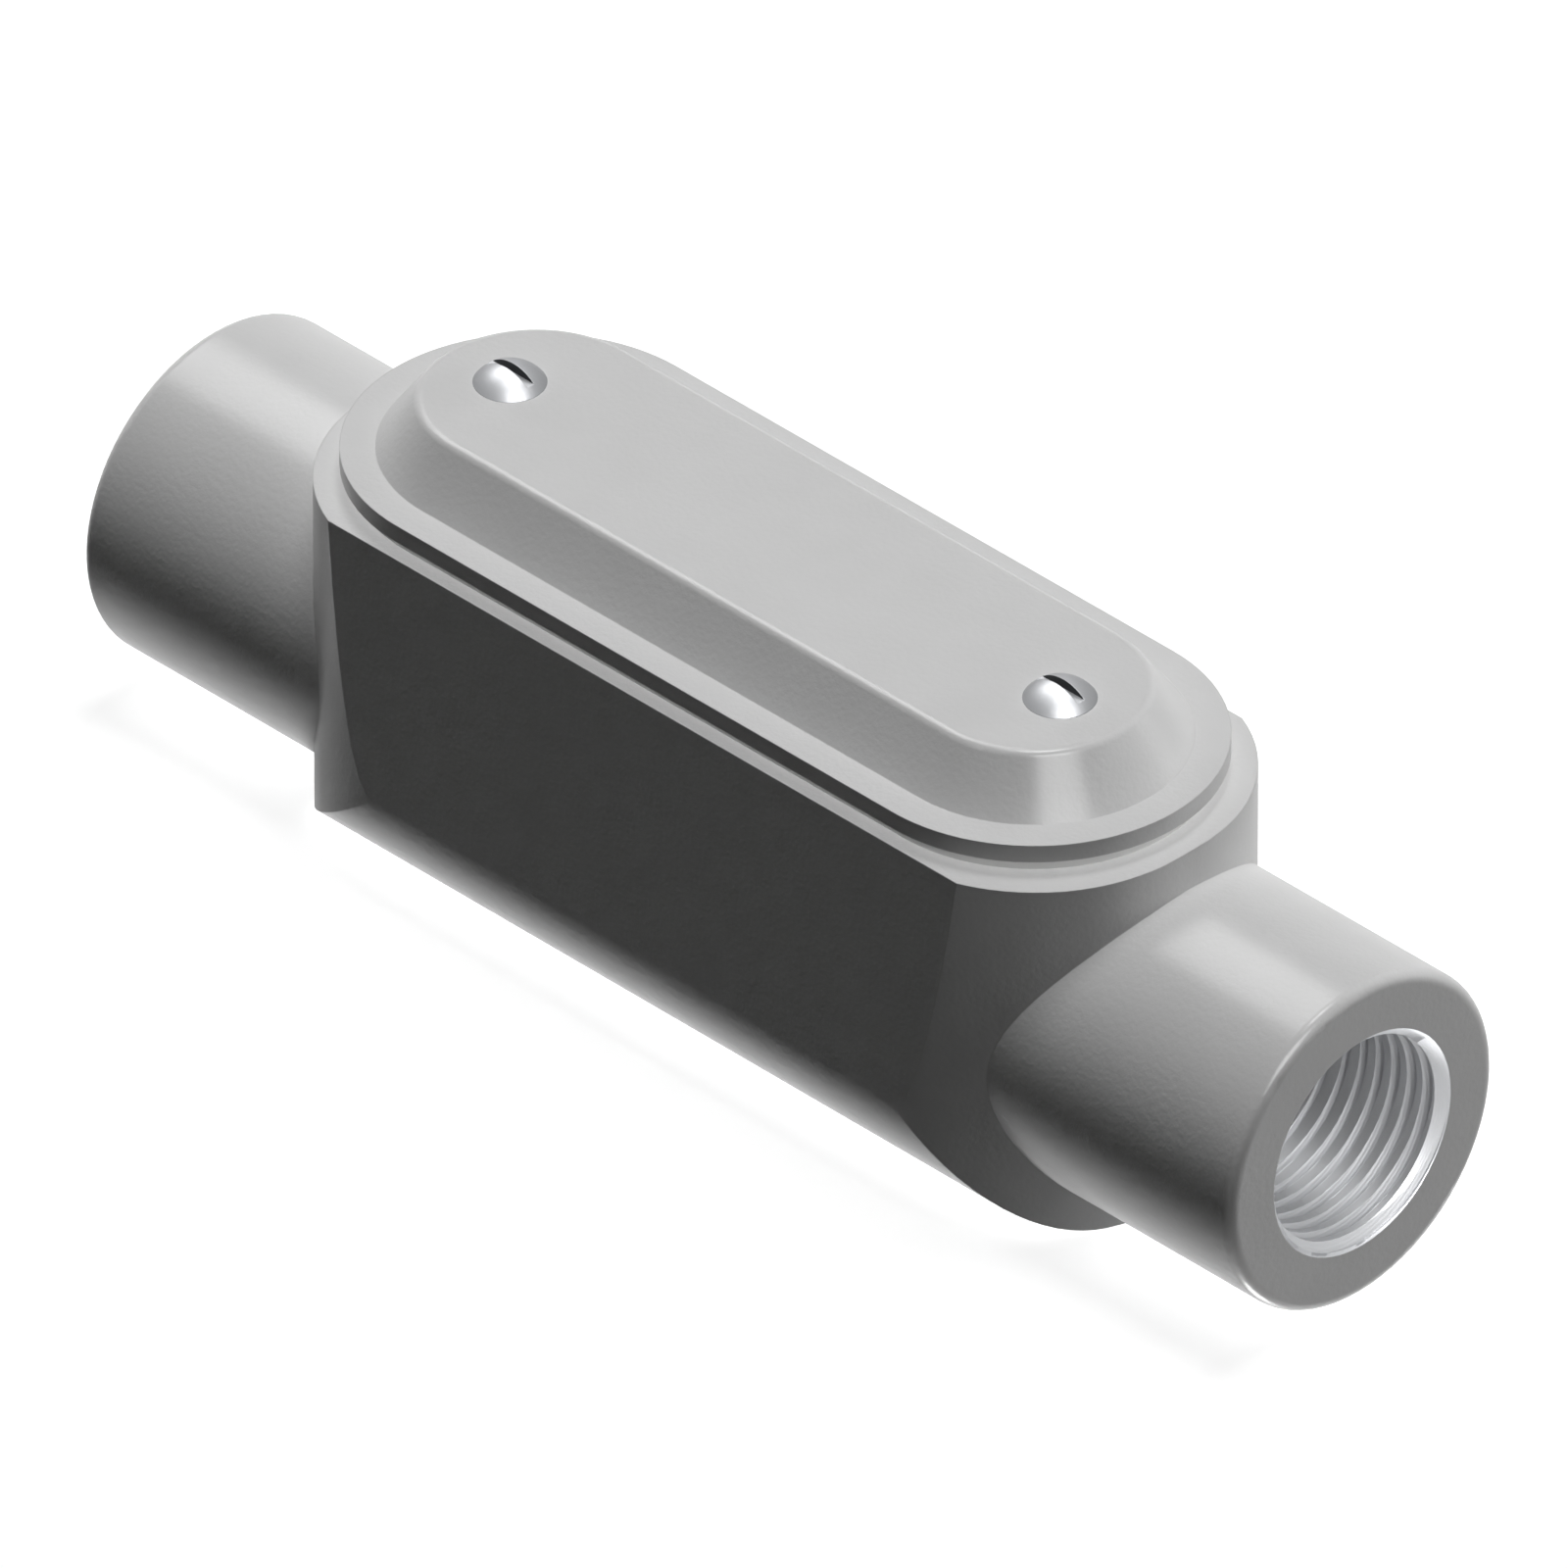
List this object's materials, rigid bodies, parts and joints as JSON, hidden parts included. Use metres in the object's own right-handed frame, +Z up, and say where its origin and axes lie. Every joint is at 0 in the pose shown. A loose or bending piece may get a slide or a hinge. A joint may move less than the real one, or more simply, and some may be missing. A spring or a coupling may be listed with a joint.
{
  "type": "conduit body",
  "caption": "Straight-through conduit body: cast wiring chamber with a threaded hub at each end, a gasketed domed access cover and round-head cover screws.",
  "frame": {"origin": "middle of the flat base, under the centre of the run", "axes": "+X along the run of pipe from the left hub to the right hub, +Z up through the cover"},
  "size_m": [0.1328, 0.0354, 0.0438],
  "materials": {
    "casting": "sand cast, satin grey coat",
    "gasket": "moulded neoprene, light grey",
    "screw": "turned, bright zinc plated"
  },
  "bodies": {
    "body": {"conduit_body": "casting", "gasket": "gasket"},
    "cover": {"cover": "casting"},
    "left_screw": {"left_cover_screw": "screw"},
    "right_screw": {"right_cover_screw": "screw"}
  },
  "joints": [
    {"name": "cover_lift", "type": "slide", "parent": "body", "child": "cover", "axis": [0, 0, 1], "range_m": [0, 0.045]},
    {"name": "left_screw_turn", "type": "hinge", "parent": "cover", "child": "left_screw", "pos_m": [-0.0317, 0, 0.0422], "axis": [0, 0, 1], "continuous": true},
    {"name": "right_screw_turn", "type": "hinge", "parent": "cover", "child": "right_screw", "pos_m": [0.0317, 0, 0.0422], "axis": [0, 0, 1], "continuous": true}
  ]
}
